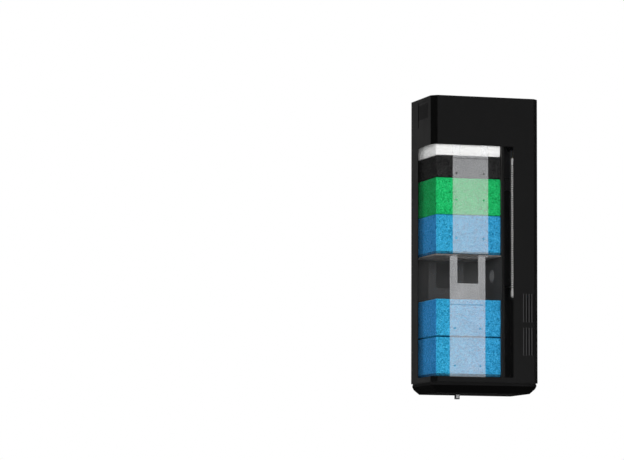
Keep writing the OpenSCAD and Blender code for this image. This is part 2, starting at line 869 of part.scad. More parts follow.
place() casing_shell();
place() partition();
place() base_cap();
place() base_gasket();
place() media_window();
place() heater_window();
place() mounting_pads();
place() suction_duct();
place() port_strainer();
place() heater_bracket();
place() volute();
place() volute_seal();
place() motor_housing();
place() motor_cap();
place() stator_core();
place() stator_coil();
place() impeller_shaft();
place() shaft_bushes();
place() rotor_magnet();
place() impeller_wheel();
place() pump_feet();
place() pump_gland();
place() riser_pipe();
place() wall_grommet();
place() nozzle_washer();
place() outlet_nozzle();
place() heater_tube();
place() heater_core();
place() heater_winding();
place() heater_thermostat();
place() heater_head();
place() heater_seal();
place() heater_gland();
place() heater_dial();
place() lower_basket_floor();
place() lower_basket_front_band();
place() lower_basket_rear_band();
place() fine_sponge_bottom();
place() fine_sponge_top();
place() upper_basket_floor();
place() upper_basket_front_band();
place() upper_basket_rear_band();
place() coarse_sponge();
place() nitrate_sponge();
place() carbon_sponge();
place() floss_pad();
place() drain_spigot();
place() drain_knob();
place() drain_seal();
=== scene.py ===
"""Looks of the aquarium corner filter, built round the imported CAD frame. Metres, row frame.

Lengths in the tables below are in millimetres in the shop frame of part.scad (x from the casing's left face, y from its
front face, z from the underside of its base cap), and S() turns them into the row frame.
"""

import math

import bpy
import numpy as np
from mathutils import Matrix, Vector


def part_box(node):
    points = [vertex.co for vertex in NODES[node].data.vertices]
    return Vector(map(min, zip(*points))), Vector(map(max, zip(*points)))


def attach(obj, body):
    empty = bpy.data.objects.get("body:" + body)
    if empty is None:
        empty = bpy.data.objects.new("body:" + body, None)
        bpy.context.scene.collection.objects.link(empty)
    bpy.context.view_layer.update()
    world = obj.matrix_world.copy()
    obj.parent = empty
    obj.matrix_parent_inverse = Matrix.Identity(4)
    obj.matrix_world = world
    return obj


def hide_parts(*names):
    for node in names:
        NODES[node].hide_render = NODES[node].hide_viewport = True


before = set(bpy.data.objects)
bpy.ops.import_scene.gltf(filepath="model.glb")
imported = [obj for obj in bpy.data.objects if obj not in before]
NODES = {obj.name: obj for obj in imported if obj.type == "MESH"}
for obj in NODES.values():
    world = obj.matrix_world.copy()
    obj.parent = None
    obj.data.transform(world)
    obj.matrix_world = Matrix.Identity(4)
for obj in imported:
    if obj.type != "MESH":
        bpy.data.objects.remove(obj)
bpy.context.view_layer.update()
scene = bpy.context.scene
OFF = np.array((-170.0, -52.5, -220.0))


def S(p):
    """Shop millimetres to row metres."""
    return (np.asarray(p, float) + OFF) / 1000.0


# ------------------------------------------------------------------ camera
yaw, pitch, roll = (math.radians(a) for a in (17.04865, 5.40327, 0.20844))
fwd = Vector((math.sin(yaw) * math.cos(pitch), math.cos(yaw) * math.cos(pitch), math.sin(pitch)))
right = Vector((math.cos(yaw), -math.sin(yaw), 0.0))
up = right.cross(fwd)
cam_x = math.cos(roll) * right + math.sin(roll) * up
cam_y = -math.sin(roll) * right + math.cos(roll) * up
cam = bpy.data.objects.new("camera", bpy.data.cameras.new("camera"))
scene.collection.objects.link(cam)
cam.matrix_world = Matrix((
    (cam_x.x, cam_y.x, -fwd.x, -1.867836),
    (cam_x.y, cam_y.y, -fwd.y, -4.984009),
    (cam_x.z, cam_y.z, -fwd.z, -0.47496),
    (0, 0, 0, 1)))
cam.data.sensor_fit = "HORIZONTAL"
cam.data.sensor_width = 36.0
cam.data.lens = 204.916
cam.data.clip_start, cam.data.clip_end = 0.05, 60.0
scene.camera = cam
scene.view_settings.view_transform = "Standard"

# ------------------------------------------------------------------ node helpers


class Tree:
    """Short hand for one material's node tree."""

    def __init__(self, name):
        self.mat = bpy.data.materials.new(name)
        self.mat.use_nodes = True
        self.t = self.mat.node_tree
        self.t.nodes.clear()
        self.out = self.t.nodes.new("ShaderNodeOutputMaterial")
        self.coord = None

    def node(self, kind, **values):
        n = self.t.nodes.new(kind)
        for k, v in values.items():
            if hasattr(n, k):
                setattr(n, k, v)
            else:
                n.inputs[k].default_value = v
        return n

    def link(self, a, b):
        self.t.links.new(a, b)

    def obj(self):
        if self.coord is None:
            self.coord = self.node("ShaderNodeTexCoord").outputs["Object"]
        return self.coord

    def noise(self, size_mm, detail=2.0, rough=0.5, vector=None, distortion=0.0):
        n = self.node("ShaderNodeTexNoise")
        n.inputs["Scale"].default_value = 1000.0 / size_mm
        n.inputs["Detail"].default_value = detail
        n.inputs["Roughness"].default_value = rough
        n.inputs["Distortion"].default_value = distortion
        self.link(vector or self.obj(), n.inputs["Vector"])
        return n.outputs[0]

    def stretched(self, sx, sy, sz):
        m = self.node("ShaderNodeMapping")
        m.inputs["Scale"].default_value = (sx, sy, sz)
        self.link(self.obj(), m.inputs["Vector"])
        return m.outputs[0]

    def voronoi(self, size_mm, feature="F1", vector=None):
        n = self.node("ShaderNodeTexVoronoi")
        n.feature = feature
        n.inputs["Scale"].default_value = 1000.0 / size_mm
        self.link(vector or self.obj(), n.inputs["Vector"])
        return n.outputs["Distance"]

    def voronoi_cell(self, size_mm):
        """A number from 0 to 1 for each cell of a Voronoi pattern."""
        n = self.node("ShaderNodeTexVoronoi")
        n.inputs["Scale"].default_value = 1000.0 / size_mm
        self.link(self.obj(), n.inputs["Vector"])
        parts = self.node("ShaderNodeSeparateColor")
        self.link(n.outputs["Color"], parts.inputs[0])
        return parts.outputs[0]

    def ranged(self, value, a, b, c, d, smooth=False):
        n = self.node("ShaderNodeMapRange")
        n.interpolation_type = "SMOOTHSTEP" if smooth else "LINEAR"
        self.link(value, n.inputs["Value"])
        for k, v in zip(("From Min", "From Max", "To Min", "To Max"), (a, b, c, d)):
            n.inputs[k].default_value = v
        return n.outputs[0]

    def math(self, op, a, b=None):
        n = self.node("ShaderNodeMath")
        n.operation = op
        for i, v in enumerate((a, b)):
            if v is None:
                continue
            if isinstance(v, (int, float)):
                n.inputs[i].default_value = v
            else:
                self.link(v, n.inputs[i])
        return n.outputs[0]

    def mix(self, fac, a, b):
        """Colour mix. a and b are colours or sockets."""
        n = self.node("ShaderNodeMix")
        n.data_type = "RGBA"
        if isinstance(fac, (int, float)):
            n.inputs[0].default_value = fac
        else:
            self.link(fac, n.inputs[0])
        for i, v in ((6, a), (7, b)):
            if isinstance(v, (tuple, list)):
                n.inputs[i].default_value = (*v, 1.0)
            else:
                self.link(v, n.inputs[i])
        return n.outputs[2]

    def ramp(self, value, stops):
        n = self.node("ShaderNodeValToRGB")
        e = n.color_ramp.elements
        while len(e) < len(stops):
            e.new(0.5)
        for el, (p, c) in zip(e, stops):
            el.position = p
            el.color = (*c, 1.0)
        self.link(value, n.inputs[0])
        return n.outputs[0]

    def attr(self, name):
        n = self.node("ShaderNodeAttribute")
        n.attribute_name = name
        return n.outputs["Fac"]

    def bump(self, height, strength, distance_mm, normal=None):
        n = self.node("ShaderNodeBump")
        n.inputs["Strength"].default_value = strength
        n.inputs["Distance"].default_value = distance_mm / 1000.0
        self.link(height, n.inputs["Height"])
        if normal is not None:
            self.link(normal, n.inputs["Normal"])
        return n.outputs[0]

    def shader(self, base, rough, normal=None, **values):
        p = self.node("ShaderNodeBsdfPrincipled")
        for name, v in (("Base Color", base), ("Roughness", rough)):
            if isinstance(v, (tuple, list)):
                p.inputs[name].default_value = (*v, 1.0)
            elif isinstance(v, (int, float)):
                p.inputs[name].default_value = v
            else:
                self.link(v, p.inputs[name])
        for k, v in values.items():
            s = p.inputs[k.replace("_", " ")]
            if isinstance(v, (int, float, tuple)):
                s.default_value = v
            else:
                self.link(v, s)
        if normal is not None:
            self.link(normal, p.inputs["Normal"])
        self.link(p.outputs[0], self.out.inputs["Surface"])
        return p


def shade(c, k):
    return tuple(min(1.0, x * k) for x in c)


# ------------------------------------------------------------------ materials

def moulded(name, colour, rough=0.42, spec=0.4, grain=0.9, bump=0.12, var=0.16, inner=None, proud_highlight=None,
            bevels=None, below=None, dark_edges=None, bay=None):
    """Injection-moulded plastic: spark-eroded grain, faint flow marks and a slightly uneven gloss."""
    t = Tree(name)
    flow = t.noise(38, 3.0, 0.55, t.stretched(1.0, 1.0, 0.35))
    fine = t.noise(grain, 2.0, 0.6)
    specks = t.voronoi(grain * 1.3)
    tone = t.mix(t.ranged(flow, 0.3, 0.7, 0.0, 1.0), shade(colour, 1 - var), shade(colour, 1 + var))
    if inner is not None:
        # painted light: the casing's inner faces round the chamber take a much paler tone than its outer faces,
        # lightened further toward the partition to lift the shade in the back corner
        chamber_painted_light = t.mix(t.ranged(flow, 0.3, 0.7, 0.0, 1.0), shade(inner, 0.88), shade(inner, 1.12))
        place = t.node("ShaderNodeSeparateXYZ")
        t.link(t.obj(), place.inputs[0])
        chamber_painted_light = t.mix(t.ranged(place.outputs[0], float(S((62, 0, 0))[0]), float(S((98, 0, 0))[0]), 0.0, 1.0),
                           chamber_painted_light, shade(inner, 1.9))
        tone = t.mix(chamber_mask(t), tone, chamber_painted_light)
    tone = t.mix(t.ranged(fine, 0.35, 0.75, 0.0, 0.22), tone, shade(colour, 2.0))
    if bay is not None:
        # painted light: the equipment bay's lower walls, below the heater, are lightened where little light reaches
        # them
        place = t.node("ShaderNodeSeparateXYZ")
        t.link(t.obj(), place.inputs[0])
        x, y, z = place.outputs
        bay_painted_light = t.ranged(z, float(S((0, 0, bay[0] - 8))[2]), float(S((0, 0, bay[0] + 8))[2]), 1.0, 0.0)
        for test in (t.math("GREATER_THAN", x, float(S((113.0, 0, 0))[0])), t.math("LESS_THAN", x, float(S((166.0, 0, 0))[0])),
                     t.math("GREATER_THAN", y, float(S((0, 2.3, 0))[1])), t.math("LESS_THAN", y, float(S((0, 102.7, 0))[1]))):
            bay_painted_light = t.math("MULTIPLY", bay_painted_light, test)
        tone = t.mix(bay_painted_light, tone, bay[1])
    if bevels is not None:
        # painted shade: the four upright bevels are darkened
        tone = t.mix(corner_shade_mask(t), tone, bevels)
    # painted shade: below the given height the cap's chamfer and underside take a darker tone, and they are made fully
    # rough there as well
    if below is not None:
        sep = t.node("ShaderNodeSeparateXYZ")
        t.link(t.obj(), sep.inputs[0])
        edge = float(S((0, 0, below[0]))[2])
        tone = t.mix(t.ranged(sep.outputs[2], edge - 0.0002, edge + 0.0002, 1.0, 0.0), tone, below[1])
    if dark_edges is not None:
        # darker over the two sides and the lower end
        sep = t.node("ShaderNodeSeparateXYZ")
        t.link(t.obj(), sep.inputs[0])
        centre, half, tip = dark_edges[:3]
        side = t.math("ABSOLUTE", t.math("SUBTRACT", sep.outputs[0], float(S((centre, 0, 0))[0])))
        dark = t.math("MAXIMUM", t.ranged(side, (half - 0.1) / 1000.0, (half + 0.1) / 1000.0, 0.0, 1.0),
                      t.ranged(sep.outputs[2], float(S((0, 0, tip - 0.1))[2]), float(S((0, 0, tip + 0.1))[2]), 1.0, 0.0))
        tone = t.mix(dark, tone, dark_edges[3])
    if proud_highlight is not None:
        # painted highlight: what stands proud of the front face is lightened, standing in for the light its rounded
        # ribs catch
        sep = t.node("ShaderNodeSeparateXYZ")
        t.link(t.obj(), sep.inputs[0])
        proud = t.ranged(sep.outputs[1], float(S((0, -0.12, 0))[1]), float(S((0, -0.45, 0))[1]), 0.0, 1.0)
        tone = t.mix(t.math("MULTIPLY", proud, t.ranged(flow, 0.25, 0.6, 0.75, 1.0)), tone, proud_highlight)
    gloss = t.math("ADD", t.ranged(flow, 0.25, 0.75, rough - 0.05, rough + 0.06),
                   t.ranged(fine, 0.3, 0.7, -0.03, 0.03))
    if below is not None:
        gloss = t.math("ADD", gloss, t.ranged(sep.outputs[2], edge - 0.0002, edge + 0.0002, 1.0 - rough, 0.0))
    relief = t.math("ADD", t.math("MULTIPLY", fine, 0.7), t.math("MULTIPLY", specks, 0.5))
    t.shader(tone, gloss, t.bump(relief, bump, 0.12), Specular_IOR_Level=spec)
    return t.mat


def chamber_mask(t):
    """1 on the casing's inner faces round the media chamber, from its own coordinates."""
    sep = t.node("ShaderNodeSeparateXYZ")
    t.link(t.obj(), sep.inputs[0])
    x, y, z = sep.outputs
    lo, hi = S((2.3, 2.3, 19.0)), S((110.4, 102.7, 437.5))
    tests = [t.math("GREATER_THAN", x, float(lo[0])), t.math("LESS_THAN", x, float(hi[0])),
             t.math("GREATER_THAN", y, float(lo[1])), t.math("LESS_THAN", y, float(hi[1])),
             t.math("GREATER_THAN", z, float(lo[2])), t.math("LESS_THAN", z, float(hi[2])),
             # inside both bevelled corners
             t.math("GREATER_THAN", t.math("ADD", x, y), (10.4 - 170.0 - 52.5) / 1000.0),
             t.math("GREATER_THAN", t.math("SUBTRACT", x, y), (10.4 - 105.0 - 170.0 + 52.5) / 1000.0)]
    m = tests[0]
    for other in tests[1:]:
        m = t.math("MULTIPLY", m, other)
    return m


def corner_shade_mask(t):
    """1 on the casing's four upright bevels, which are painted darker than the grained faces as shade."""
    sep = t.node("ShaderNodeSeparateXYZ")
    t.link(t.obj(), sep.inputs[0])
    x, y, _ = sep.outputs
    across = t.math("ABSOLUTE", t.math("SUBTRACT", x, float(S((84.0, 0, 0))[0])))
    along = t.math("ABSOLUTE", t.math("SUBTRACT", y, float(S((0, 52.5, 0))[1])))
    off = (84.0 + 52.5 - 8.0) / 1000.0
    return t.ranged(t.math("ADD", across, along), off - 0.0005, off - 0.0001, 0.0, 1.0)


def rubber(name, colour, rough=0.62, bump=0.25):
    t = Tree(name)
    bloom = t.noise(9, 4.0, 0.6)
    fine = t.noise(0.35, 2.0)
    tone = t.mix(t.ranged(bloom, 0.4, 0.75, 0.0, 0.5), colour, shade(colour, 2.0))
    t.shader(tone, t.ranged(bloom, 0.3, 0.7, rough - 0.08, rough + 0.1),
             t.bump(t.math("ADD", t.math("MULTIPLY", bloom, 0.6), fine), bump, 0.1), Specular_IOR_Level=0.35)
    return t.mat


def clear(name, tint, alpha, rough=0.04):
    """Clear acrylic: faint tint, hairline scratches in its gloss, more to see at a grazing angle."""
    t = Tree(name)
    wipe = t.noise(0.5, 2.0, 0.5, t.stretched(1.0, 1.0, 0.04))
    smear = t.noise(24, 3.0, 0.6)
    fres = t.node("ShaderNodeLayerWeight")
    fres.inputs["Blend"].default_value = 0.22
    a = t.math("ADD", t.ranged(fres.outputs["Facing"], 0.3, 1.0, alpha, alpha + 0.05),
               t.ranged(smear, 0.45, 0.8, 0.0, 0.006))
    p = t.shader(t.mix(t.ranged(smear, 0.3, 0.7, 0.0, 1.0), tint, shade(tint, 1.25)),
                 t.ranged(wipe, 0.4, 0.7, rough, rough + 0.12),
                 t.bump(t.math("ADD", t.math("MULTIPLY", wipe, 0.4), smear), 0.05, 0.2),
                 Specular_IOR_Level=0.5)
    t.link(a, p.inputs["Alpha"])
    return t.mat


def frosted(name, colour, alpha, rough=0.38, var=0.05, lines=(), pins=(), joint=None):
    """Milky translucent moulding with sink marks and fine texture. lines are the heights of its stiffening ridges,
    along which shade is painted, as it is round the pin holes and on the stretch round the tray where two baskets meet."""
    t = Tree(name)
    flow = t.noise(16, 3.0, 0.55, t.stretched(1.0, 1.0, 0.5))
    fine = t.noise(0.45, 2.0)
    a = t.math("ADD", t.ranged(flow, 0.3, 0.7, alpha * (1 - var), alpha * (1 + var)),
               t.ranged(fine, 0.3, 0.7, -0.012, 0.012))
    tone = t.mix(t.ranged(flow, 0.3, 0.7, 0.0, 1.0), shade(colour, 0.95), shade(colour, 1.04))
    if lines:
        sep = t.node("ShaderNodeSeparateXYZ")
        t.link(t.obj(), sep.inputs[0])
        for z in lines:
            # painted shade along each stiffening ridge
            off = t.math("ABSOLUTE", t.math("SUBTRACT", sep.outputs[2], float(S((0, 0, z))[2])))
            tone = t.mix(t.ranged(off, 0.0005, 0.0009, 0.8, 0.0), tone, shade(colour, 0.3))
        grit = t.voronoi_cell(1.7)
        tone = t.mix(t.ranged(grit, 0.0, 1.0, 0.0, 0.24), tone, shade(colour, 0.6))
        a = t.math("ADD", a, t.ranged(grit, 0.0, 1.0, -0.012, 0.012))
    if joint is not None:
        x0, x1, z0, z1, z2 = (v / 1000.0 for v in joint)
        x, z = sep.outputs[0], sep.outputs[2]
        ox, oz = float(S((0, 0, 0))[0]), float(S((0, 0, 0))[2])
        bar = t.math("MULTIPLY", t.ranged(z, oz + z0 - 0.0001, oz + z0 + 0.0001, 0.0, 1.0),
                     t.math("MULTIPLY", t.math("GREATER_THAN", x, ox + x0), t.math("LESS_THAN", x, ox + x1)))
        ends = t.ranged(z, oz + z1 - 0.0002, oz + z1 + 0.0002, 0.0, 1.0)
        # painted shade: the stretch round the tray where two baskets meet is darkened and made more opaque
        stain_and_shade = t.math("MULTIPLY", t.math("MAXIMUM", bar, ends), t.ranged(z, oz + z2 - 0.0002, oz + z2 + 0.0002, 1.0, 0.0))
        tone = t.mix(stain_and_shade, tone, (0.10, 0.098, 0.095))
        a = t.math("ADD", a, t.math("MULTIPLY", stain_and_shade, 0.25))
    for px, pz in pins:
        # painted shade round each pin hole
        dx = t.math("SUBTRACT", sep.outputs[0], float(S((px, 0, 0))[0]))
        dz = t.math("SUBTRACT", sep.outputs[2], float(S((0, 0, pz))[2]))
        r = t.math("SQRT", t.math("ADD", t.math("MULTIPLY", dx, dx), t.math("MULTIPLY", dz, dz)))
        rim = t.ranged(r, 0.0018, 0.0022, 1.0, 0.0)
        tone = t.mix(rim, tone, (0.56, 0.565, 0.57))
        a = t.math("ADD", a, t.math("MULTIPLY", rim, 0.03))
    p = t.shader(tone,
                 t.ranged(fine, 0.3, 0.7, rough - 0.06, rough + 0.06),
                 t.bump(t.math("ADD", t.math("MULTIPLY", flow, 0.5), fine), 0.12, 0.1),
                 Specular_IOR_Level=0.4)
    t.link(a, p.inputs["Alpha"])
    return t.mat


def tray(name):
    """Smoky translucent tray: a brownish grid floor inside a darker, clearer rim."""
    t = Tree(name)
    sep = t.node("ShaderNodeSeparateXYZ")
    t.link(t.obj(), sep.inputs[0])
    z = sep.outputs[2]
    rim = None
    for low in (22.15, 204.3):
        inside = t.math("MULTIPLY", t.ranged(z, float(S((0, 0, low))[2]), float(S((0, 0, low + 0.25))[2]), 0.0, 1.0),
                        t.ranged(z, float(S((0, 0, low + 6.1))[2]), float(S((0, 0, low + 6.3))[2]), 1.0, 0.0))
        rim = inside if rim is None else t.math("ADD", rim, inside)
    flow = t.noise(14, 3.0, 0.55)
    fine = t.noise(0.5, 2.0)
    floor_tone = t.mix(t.ranged(flow, 0.3, 0.7, 0.0, 1.0), (0.165, 0.152, 0.145), (0.215, 0.2, 0.19))
    tone = t.mix(rim, floor_tone, (0.006, 0.012, 0.02))
    a = t.math("ADD", t.ranged(rim, 0.0, 1.0, 0.86, 0.24), t.ranged(flow, 0.3, 0.7, -0.02, 0.02))
    p = t.shader(tone, t.ranged(fine, 0.3, 0.7, 0.34, 0.46),
                 t.bump(t.math("ADD", t.math("MULTIPLY", flow, 0.5), fine), 0.12, 0.1), Specular_IOR_Level=0.4)
    t.link(a, p.inputs["Alpha"])
    return t.mat


def foam(name, hi, mid, lo, speck=0.0, rough=0.92, fine_mm=0.9, glint=None, grain=0.34, side_shade=None):
    """Open-cell foam. The mesh holds each cell's depth as 'pit', which is painted darker as shade, its own tone as
    'cell' and, in a third attribute, its two side faces and the stretch towards its right end, which take painted
    shade."""
    t = Tree(name)
    pit, cell = t.attr("pit"), t.attr("cell")
    web = t.voronoi(fine_mm, "DISTANCE_TO_EDGE")
    patch = t.noise(14, 3.0, 0.6)
    # painted shade: the deeper the cell's pit, and the farther from a web, the darker the tone
    depth = t.math("ADD", t.math("MULTIPLY", pit, 0.85), t.math("MULTIPLY", t.ranged(web, 0.02, 0.3, 0.0, 1.0), 0.22))
    depth = t.math("ADD", depth, t.ranged(cell, 0.0, 1.0, -0.24, 0.24))
    depth = t.math("ADD", depth, t.ranged(t.voronoi_cell(1.55), 0.0, 1.0, -1.05 * grain, grain))
    tone = t.ramp(depth, [(0.0, hi), (0.42, mid), (1.0, lo)])
    tone = t.mix(t.ranged(patch, 0.35, 0.7, 0.0, 0.16), tone, shade(mid, 0.72))
    if speck:
        # painted highlight: pale specks stand in for glints on the foam
        grit = t.voronoi(1.1)
        tone = t.mix(t.ranged(grit, 0.12, 0.2, speck, 0.0), tone, shade(hi, 2.6))
    if glint:
        # painted highlight: bright specks stand in for cut strut ends catching the light
        spark = t.noise(1.7, 1.0, 0.5)
        tone = t.mix(t.ranged(spark, 0.60, 0.70, 0.0, 0.75), tone, glint)
    if side_shade:
        # painted shade: the side faces and the stretch towards the right end are darkened
        side_shaded = t.node("ShaderNodeMix")
        side_shaded.data_type = "RGBA"
        side_shaded.blend_type = "MULTIPLY"
        t.link(t.attr("side_shade"), side_shaded.inputs[0])
        t.link(tone, side_shaded.inputs[6])
        side_shaded.inputs[7].default_value = (*side_shade, 1.0)
        tone = side_shaded.outputs[2]
    strut = t.noise(0.35, 2.0)
    relief = t.math("ADD", t.math("MULTIPLY", t.ranged(web, 0.0, 0.25, 1.0, 0.0), 0.8), t.math("MULTIPLY", strut, 0.3))
    t.shader(tone, t.ranged(strut, 0.3, 0.7, rough - 0.12, rough),
             t.bump(relief, 0.6, 0.35), Specular_IOR_Level=0.06)
    return t.mat


def floss(name):
    """Felted white fibre: layered, with loose threads and painted shade in its hollows."""
    t = Tree(name)
    lay = t.noise(1.6, 4.0, 0.62, t.stretched(0.16, 0.16, 1.0), 0.6)
    clump = t.noise(9, 4.0, 0.6)
    pit = t.attr("pit")
    shadow = t.math("ADD", t.math("MULTIPLY", pit, 0.7), t.ranged(lay, 0.42, 0.68, 0.0, 0.4))
    tone = t.ramp(shadow, [(0.0, (0.97, 0.97, 0.965)), (0.5, (0.9, 0.9, 0.89)), (1.0, (0.7, 0.71, 0.71))])
    tone = t.mix(t.ranged(clump, 0.45, 0.75, 0.0, 0.25), tone, (0.86, 0.86, 0.84))
    t.shader(tone, 0.95, t.bump(t.math("ADD", lay, t.math("MULTIPLY", clump, 0.6)), 0.5, 0.5),
             Specular_IOR_Level=0.15, Sheen_Weight=0.25, Sheen_Roughness=0.6)
    return t.mat


def threads(name):
    t = Tree(name)
    n = t.noise(3, 2.0)
    t.shader(t.mix(t.ranged(n, 0.3, 0.7, 0.0, 1.0), (0.88, 0.88, 0.87), (0.97, 0.97, 0.96)),
             t.ranged(n, 0.3, 0.7, 0.4, 0.6), Specular_IOR_Level=0.4)
    return t.mat


def ceramic(name, colour, rough=0.22):
    t = Tree(name)
    spots = t.voronoi(2.2)
    craze = t.noise(5, 5.0, 0.65)
    tone = t.mix(t.ranged(craze, 0.4, 0.7, 0.0, 0.3), colour, shade(colour, 0.86))
    tone = t.mix(t.ranged(spots, 0.04, 0.09, 0.35, 0.0), tone, shade(colour, 0.6))
    t.shader(tone, t.ranged(craze, 0.3, 0.7, rough - 0.06, rough + 0.12), t.bump(craze, 0.08, 0.2),
             Specular_IOR_Level=0.5, Coat_Weight=0.25, Coat_Roughness=0.12)
    return t.mat


def metal(name, colour, rough=0.32, line_mm=0.0, axis="X", stain_and_shade=0.25):
    """Metal with drawn lines or stacked sheets along one axis."""
    t = Tree(name)
    blot = t.noise(4, 4.0, 0.6)
    scale = {"X": (1.0, 0.03, 0.03), "Y": (0.03, 1.0, 0.03), "Z": (0.03, 0.03, 1.0)}[axis]
    brushed = t.noise(0.3, 3.0, 0.6, t.stretched(*scale))
    tone = t.mix(t.ranged(blot, 0.35, 0.75, 0.0, stain_and_shade), colour, shade(colour, 0.55))
    relief = t.math("MULTIPLY", brushed, 0.4)
    if line_mm:
        w = t.node("ShaderNodeTexWave")
        w.bands_direction = axis
        w.inputs["Scale"].default_value = 1000.0 / line_mm / 20 * 2 * math.pi / 2
        w.inputs["Distortion"].default_value = 0.0
        t.link(t.obj(), w.inputs["Vector"])
        lines = t.ranged(w.outputs["Fac"], 0.1, 0.5, 0.0, 1.0)
        tone = t.mix(lines, shade(colour, 0.35), tone)
        relief = t.math("ADD", relief, t.math("MULTIPLY", lines, 0.8))
    t.shader(tone, t.ranged(brushed, 0.3, 0.7, rough - 0.06, rough + 0.1), t.bump(relief, 0.3, 0.08), Metallic=1.0)
    return t.mat


def glass_tube(name):
    """Thin borosilicate tube: clear face on, and towards its edge a little more opaque and pale, a painted reflection.
    """
    t = Tree(name)
    fres = t.node("ShaderNodeLayerWeight")
    fres.inputs["Blend"].default_value = 0.5
    smear = t.noise(18, 3.0, 0.6, t.stretched(1.0, 1.0, 0.3))
    a = t.math("ADD", t.ranged(fres.outputs["Facing"], 0.5, 1.0, 0.02, 0.07), t.ranged(smear, 0.4, 0.8, 0.0, 0.012))
    p = t.shader(t.mix(t.ranged(smear, 0.3, 0.7, 0.0, 1.0), (0.5, 0.53, 0.53), (0.42, 0.46, 0.46)),
                 t.ranged(smear, 0.3, 0.7, 0.03, 0.09), t.bump(smear, 0.05, 0.3), Specular_IOR_Level=0.6)
    t.link(a, p.inputs["Alpha"])
    return t.mat


def silicone(name):
    t = Tree(name)
    skin = t.noise(5, 4.0, 0.6)
    fine = t.noise(0.6, 2.0)
    bubble = t.voronoi(2.6)
    tone = t.mix(t.ranged(skin, 0.35, 0.7, 0.0, 1.0), (0.045, 0.05, 0.055), (0.075, 0.08, 0.087))
    tone = t.mix(t.ranged(bubble, 0.03, 0.08, 0.6, 0.0), tone, (0.14, 0.15, 0.16))
    t.shader(tone, t.ranged(skin, 0.3, 0.7, 0.38, 0.6),
             t.bump(t.math("ADD", t.math("MULTIPLY", skin, 0.7), t.math("MULTIPLY", fine, 0.3)), 0.3, 0.25),
             Specular_IOR_Level=0.4)
    return t.mat


M = {
    # casing: the inner and bay tones are painted light, the tone for what stands proud of the front face is a painted
    # highlight and the bevel tone is painted shade
    "casing": moulded("casing_plastic", (0.0052, 0.0052, 0.0053), rough=0.46, spec=0.3, inner=(0.036, 0.036, 0.036),
                      bay=(166.0, (0.014, 0.014, 0.0142)),
                      proud_highlight=(0.045, 0.045, 0.046), bevels=(0.0007, 0.0007, 0.0007)),
    "partition": moulded("partition_plastic", (0.06, 0.06, 0.06), rough=0.5, spec=0.3, bump=0.15),
    # cap: the tone given with below is painted shade
    "cap": moulded("cap_plastic", (0.0078, 0.0078, 0.008), rough=0.66, spec=0.02, bump=0.15,
                   below=(11.0, (0.0022, 0.0022, 0.0022))),
    "rubber": rubber("seal_rubber", (0.0042, 0.0042, 0.0042)),
    "clear": clear("clear_acrylic", (0.03, 0.033, 0.036), 0.01),
    "silicone": silicone("cured_silicone"),
    "duct": moulded("duct_plastic", (0.004, 0.004, 0.0042), rough=0.5, spec=0.15),
    "strainer": moulded("strainer_plastic", (0.14, 0.14, 0.14), rough=0.45, spec=0.4, var=0.08),
    "pump": moulded("pump_plastic", (0.0085, 0.0085, 0.0092), rough=0.38, spec=0.4, grain=0.6),
    "steel": metal("lamination_steel", (0.42, 0.43, 0.45), 0.34, line_mm=1.0, axis="Y"),
    "copper": metal("enamelled_copper", (0.55, 0.2, 0.08), 0.28, line_mm=0.8, axis="Z", stain_and_shade=0.4),
    "ceramic": ceramic("ceramic", (0.93, 0.92, 0.9)),
    "magnet": metal("ferrite", (0.06, 0.062, 0.066), 0.5, stain_and_shade=0.5),
    "impeller": moulded("impeller_plastic", (0.66, 0.67, 0.68), rough=0.38, spec=0.4, var=0.05),
    "heater_glass": glass_tube("heater_glass"),
    "wire": metal("oxidised_wire", (0.022, 0.02, 0.018), 0.5, stain_and_shade=0.6),
    "brass": metal("contact_brass", (0.6, 0.42, 0.16), 0.3),
    "dial": moulded("dial_plastic", (0.36, 0.026, 0.012), rough=0.4, spec=0.42, var=0.08),
    "grid": tray("basket_tray"),
    "band": frosted("basket_band", (0.82, 0.83, 0.85), 0.212, lines=(129.9,),
                    pins=[(x, z) for x in (36.6, 76.5) for z in (39.7, 94.8)], joint=(40.3, 73.3, 198.6, 203.8, 206.3)),
    "band_upper": frosted("basket_band_upper", (0.82, 0.83, 0.85), 0.197, lines=(347.4,),
                          pins=[(x, z) for x in (39.0, 81.9) for z in (228.6, 285.5, 325.0)],
                          joint=(40.3, 73.3, 198.6, 203.8, 206.3)),
    # painted shade: the rear bands take a fainter, slightly darker copy of the band moulding, standing in for the shade
    # inside the chamber
    "band_rear_shaded": frosted("basket_rear_band", (0.79, 0.80, 0.82), 0.02),
    "drain": moulded("drain_plastic", (0.7, 0.7, 0.7), rough=0.4, spec=0.4, var=0.06),
    "knob": moulded("knob_plastic", (0.55, 0.55, 0.555), rough=0.45, spec=0.35, var=0.06,
                    dark_edges=(56.8, 2.25, -6.0, (0.03, 0.03, 0.031))),
    "floss": floss("filter_floss"),
    "threads": threads("loose_threads"),
    # foams: the glint colours are painted highlights, and the last colour multiplies in painted shade on the side faces
    # and towards the right end
    "blue_fine": foam("foam_blue_fine", (0.045, 0.43, 0.74), (0.022, 0.31, 0.54), (0.008, 0.16, 0.34), fine_mm=0.7,
                      glint=(0.10, 0.62, 0.9), grain=0.4, side_shade=(0.93, 0.67, 0.9)),
    "blue_coarse": foam("foam_blue_coarse", (0.045, 0.42, 0.72), (0.022, 0.3, 0.52), (0.008, 0.155, 0.32),
                        glint=(0.10, 0.6, 0.86), side_shade=(0.93, 0.66, 0.87)),
    "green": foam("foam_green", (0.018, 0.58, 0.165), (0.009, 0.42, 0.11), (0.004, 0.22, 0.06), glint=(0.05, 0.75, 0.28),
                  side_shade=(0.74, 0.67, 0.63)),
    "carbon": foam("foam_carbon", (0.032, 0.032, 0.032), (0.013, 0.013, 0.013), (0.004, 0.004, 0.004), speck=0.5, grain=0.2,
                   side_shade=(0.84, 0.84, 0.84)),
}

